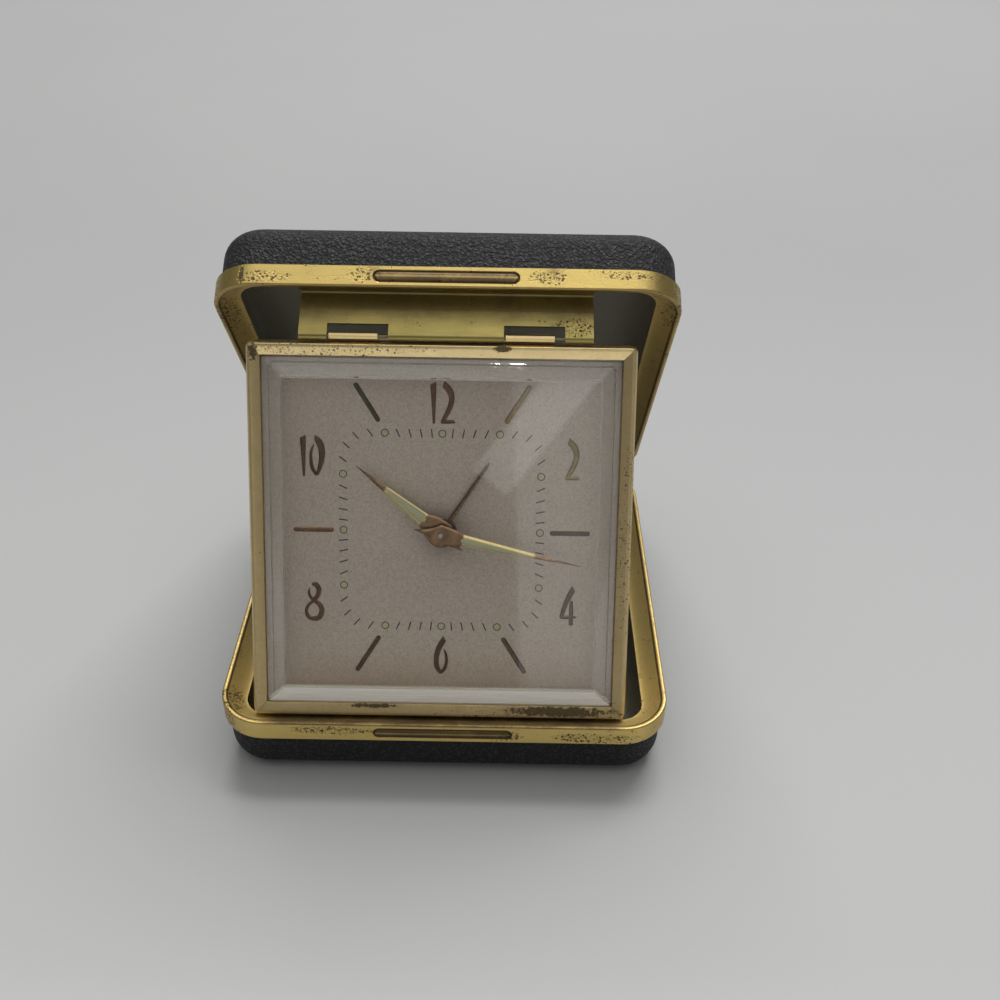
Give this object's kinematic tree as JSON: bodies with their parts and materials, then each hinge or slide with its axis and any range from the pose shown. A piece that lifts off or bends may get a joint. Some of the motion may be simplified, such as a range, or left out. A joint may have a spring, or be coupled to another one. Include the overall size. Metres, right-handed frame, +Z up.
{
  "type": "travel alarm clock",
  "caption": "Square alarm clock with a pale dial, hung on a hinged leaf inside a brass-rimmed leatherette clamshell case, unfolded so that the clock props the lid open.",
  "frame": {"origin": "middle of the model's footprint on the surface it stands on", "axes": "+X to the right of someone who faces the dial, +Y away from them towards the case hinge, +Z up"},
  "size_m": [0.09, 0.0984, 0.0948],
  "materials": {
    "lower_leatherette": "fine pebble grain",
    "lower_pan": "satin",
    "lower_lining": "fine ribbed cloth",
    "lower_rim": "polished, tarnished",
    "lower_hinge_leaf": "polished, tarnished",
    "case_hinge_pin": "satin",
    "upper_leatherette": "fine pebble grain",
    "upper_pan": "satin",
    "upper_lining": "fine ribbed cloth",
    "upper_rim": "polished, tarnished",
    "upper_hinge_leaf": "polished, tarnished",
    "clock_hinge_leaf": "polished, tarnished",
    "clock_hinge_knuckles": "polished, tarnished",
    "clock_hinge_pin": "satin",
    "bezel": "polished, tarnished",
    "crystal": "clear",
    "clock_case": "polished, tarnished",
    "dial": "frosted lacquer",
    "movement_front_plate": "polished, tarnished",
    "movement_back_plate": "polished, tarnished",
    "music_comb": "satin",
    "hairspring": "satin",
    "back_cover": "polished, tarnished",
    "back_screw_1": "satin",
    "back_screw_2": "satin",
    "back_screw_3": "satin",
    "back_screw_4": "satin",
    "minute_hand": "copper-coloured lacquer",
    "cannon_pinion": "polished, tarnished",
    "centre_arbor": "satin",
    "hand_setting_knob": "polished, tarnished",
    "minute_wheel": "polished, tarnished",
    "hour_hand": "copper-coloured lacquer",
    "hour_wheel": "polished, tarnished",
    "alarm_hand": "copper-coloured lacquer",
    "alarm_wheel": "polished, tarnished",
    "alarm_setting_arbor": "satin",
    "alarm_setting_knob": "polished, tarnished",
    "time_winding_key": "polished, tarnished",
    "time_ratchet_wheel": "satin",
    "music_winding_key": "polished, tarnished",
    "music_ratchet_wheel": "satin",
    "time_barrel": "polished, tarnished",
    "time_mainspring": "satin",
    "centre_wheel": "polished, tarnished",
    "third_wheel": "polished, tarnished",
    "fourth_wheel": "polished, tarnished",
    "escape_wheel": "polished, tarnished",
    "pallet_lever": "satin",
    "balance_wheel": "polished, tarnished",
    "regulator_lever": "satin",
    "alarm_stop_slide": "polished, tarnished",
    "music_barrel": "polished, tarnished",
    "music_mainspring": "satin",
    "music_disc": "polished, tarnished",
    "music_governor": "polished, tarnished"
  },
  "bodies": {
    "lower_tray": {"lower_leatherette": "lower_leatherette", "lower_pan": "lower_pan", "lower_lining": "lower_lining", "lower_rim": "lower_rim", "lower_hinge_leaf": "lower_hinge_leaf", "case_hinge_pin": "case_hinge_pin"},
    "upper_tray": {"upper_leatherette": "upper_leatherette", "upper_pan": "upper_pan", "upper_lining": "upper_lining", "upper_rim": "upper_rim", "upper_hinge_leaf": "upper_hinge_leaf", "clock_hinge_leaf": "clock_hinge_leaf"},
    "clock": {"clock_hinge_knuckles": "clock_hinge_knuckles", "clock_hinge_pin": "clock_hinge_pin", "bezel": "bezel", "crystal": "crystal", "clock_case": "clock_case", "dial": "dial", "movement_front_plate": "movement_front_plate", "movement_back_plate": "movement_back_plate", "music_comb": "music_comb", "hairspring": "hairspring", "back_cover": "back_cover", "back_screw_1": "back_screw_1", "back_screw_2": "back_screw_2", "back_screw_3": "back_screw_3", "back_screw_4": "back_screw_4"},
    "minute_work": {"minute_hand": "minute_hand", "cannon_pinion": "cannon_pinion", "centre_arbor": "centre_arbor", "hand_setting_knob": "hand_setting_knob"},
    "minute_wheel": {"minute_wheel": "minute_wheel"},
    "hour_work": {"hour_hand": "hour_hand", "hour_wheel": "hour_wheel"},
    "alarm_work": {"alarm_hand": "alarm_hand", "alarm_wheel": "alarm_wheel"},
    "alarm_setting": {"alarm_setting_arbor": "alarm_setting_arbor", "alarm_setting_knob": "alarm_setting_knob"},
    "time_winder": {"time_winding_key": "time_winding_key", "time_ratchet_wheel": "time_ratchet_wheel"},
    "music_winder": {"music_winding_key": "music_winding_key", "music_ratchet_wheel": "music_ratchet_wheel"},
    "time_barrel": {"time_barrel": "time_barrel", "time_mainspring": "time_mainspring"},
    "centre_wheel": {"centre_wheel": "centre_wheel"},
    "third_wheel": {"third_wheel": "third_wheel"},
    "fourth_wheel": {"fourth_wheel": "fourth_wheel"},
    "escape_wheel": {"escape_wheel": "escape_wheel"},
    "pallet_lever": {"pallet_lever": "pallet_lever"},
    "balance": {"balance_wheel": "balance_wheel"},
    "regulator": {"regulator_lever": "regulator_lever"},
    "alarm_stop": {"alarm_stop_slide": "alarm_stop_slide"},
    "music_barrel": {"music_barrel": "music_barrel", "music_mainspring": "music_mainspring"},
    "music_disc": {"music_disc": "music_disc"},
    "music_governor": {"music_governor": "music_governor"}
  },
  "joints": [
    {"name": "case_hinge", "type": "hinge", "parent": "lower_tray", "child": "upper_tray", "pos_m": [0, 0.04026, 0.0148], "axis": [-1, 0, 0], "range_deg": [0, 123]},
    {"name": "clock_hinge", "type": "hinge", "parent": "upper_tray", "child": "clock", "pos_m": [-0.0008, -0.01205, 0.08042], "axis": [1, 0, 0], "range_deg": [0, 60]},
    {"name": "minute_hand_turn", "type": "hinge", "parent": "clock", "child": "minute_work", "pos_m": [-0.0008, -0.0206, 0.0422], "axis": [0, -0.8967, 0.4426], "continuous": true},
    {"name": "minute_wheel_turn", "type": "hinge", "parent": "clock", "child": "minute_wheel", "pos_m": [-0.008, -0.0206, 0.0422], "axis": [0, -0.8967, 0.4426], "continuous": true},
    {"name": "hour_hand_turn", "type": "hinge", "parent": "clock", "child": "hour_work", "pos_m": [-0.0008, -0.0206, 0.0422], "axis": [0, -0.8967, 0.4426], "continuous": true},
    {"name": "alarm_knob_turn", "type": "hinge", "parent": "clock", "child": "alarm_setting", "pos_m": [0.00076, -0.02452, 0.03426], "axis": [0, -0.8967, 0.4426], "continuous": true},
    {"name": "alarm_hand_turn", "type": "hinge", "parent": "clock", "child": "alarm_work", "pos_m": [-0.0008, -0.0206, 0.0422], "axis": [0, -0.8967, 0.4426], "continuous": true},
    {"name": "time_key_turn", "type": "hinge", "parent": "clock", "child": "time_winder", "pos_m": [-0.01421, -0.02345, 0.03642], "axis": [0, -0.8967, 0.4426], "continuous": true},
    {"name": "music_key_turn", "type": "hinge", "parent": "clock", "child": "music_winder", "pos_m": [0.0157, -0.02436, 0.03458], "axis": [0, -0.8967, 0.4426], "continuous": true},
    {"name": "fourth_wheel_turn", "type": "hinge", "parent": "clock", "child": "fourth_wheel", "pos_m": [-0.00046, -0.01554, 0.05245], "axis": [0, -0.8967, 0.4426], "continuous": true},
    {"name": "third_wheel_turn", "type": "hinge", "parent": "clock", "child": "third_wheel", "pos_m": [0.00441, -0.01785, 0.04777], "axis": [0, -0.8967, 0.4426], "continuous": true},
    {"name": "centre_wheel_turn", "type": "hinge", "parent": "clock", "child": "centre_wheel", "pos_m": [-0.0008, -0.0206, 0.0422], "axis": [0, -0.8967, 0.4426], "continuous": true},
    {"name": "time_barrel_turn", "type": "hinge", "parent": "clock", "child": "time_barrel", "pos_m": [-0.01421, -0.02345, 0.03642], "axis": [0, -0.8967, 0.4426], "continuous": true},
    {"name": "escape_wheel_turn", "type": "hinge", "parent": "clock", "child": "escape_wheel", "pos_m": [-0.00605, -0.01464, 0.05427], "axis": [0, -0.8967, 0.4426], "continuous": true},
    {"name": "pallet_lever_rock", "type": "hinge", "parent": "clock", "child": "pallet_lever", "pos_m": [-0.01258, -0.01423, 0.0551], "axis": [0, -0.8967, 0.4426], "range_deg": [-6, 6]},
    {"name": "balance_swing", "type": "hinge", "parent": "clock", "child": "balance", "pos_m": [-0.01899, -0.0126, 0.05841], "axis": [0, -0.8967, 0.4426], "range_deg": [-220, 220], "stiffness_Nm_per_rad": 0.000003},
    {"name": "regulator_swing", "type": "hinge", "parent": "clock", "child": "regulator", "pos_m": [-0.01899, -0.0126, 0.05841], "axis": [0, -0.8967, 0.4426], "range_deg": [-20, 20]},
    {"name": "alarm_stop_slide", "type": "slide", "parent": "clock", "child": "alarm_stop", "axis": [1, 0, 0], "range_m": [0, 0.005]},
    {"name": "music_barrel_turn", "type": "hinge", "parent": "clock", "child": "music_barrel", "pos_m": [0.0157, -0.02436, 0.03458], "axis": [0, -0.8967, 0.4426], "continuous": true},
    {"name": "music_disc_turn", "type": "hinge", "parent": "clock", "child": "music_disc", "pos_m": [0.0157, -0.03259, 0.0179], "axis": [0, -0.8967, 0.4426], "continuous": true},
    {"name": "music_governor_turn", "type": "hinge", "parent": "clock", "child": "music_governor", "pos_m": [0.02376, -0.03259, 0.0179], "axis": [0, -0.8967, 0.4426], "continuous": true}
  ],
  "couplings": [
    {"joint": "minute_wheel_turn", "follows": "minute_hand_turn", "ratio": -0.33333},
    {"joint": "hour_hand_turn", "follows": "minute_hand_turn", "ratio": 0.083333},
    {"joint": "alarm_hand_turn", "follows": "alarm_knob_turn", "ratio": -0.25},
    {"joint": "third_wheel_turn", "follows": "fourth_wheel_turn", "ratio": -0.13333},
    {"joint": "centre_wheel_turn", "follows": "fourth_wheel_turn", "ratio": 0.016667},
    {"joint": "time_barrel_turn", "follows": "fourth_wheel_turn", "ratio": -0.0033333},
    {"joint": "escape_wheel_turn", "follows": "fourth_wheel_turn", "ratio": -8},
    {"joint": "music_disc_turn", "follows": "music_barrel_turn", "ratio": -2},
    {"joint": "music_governor_turn", "follows": "music_barrel_turn", "ratio": 6.6667}
  ]
}
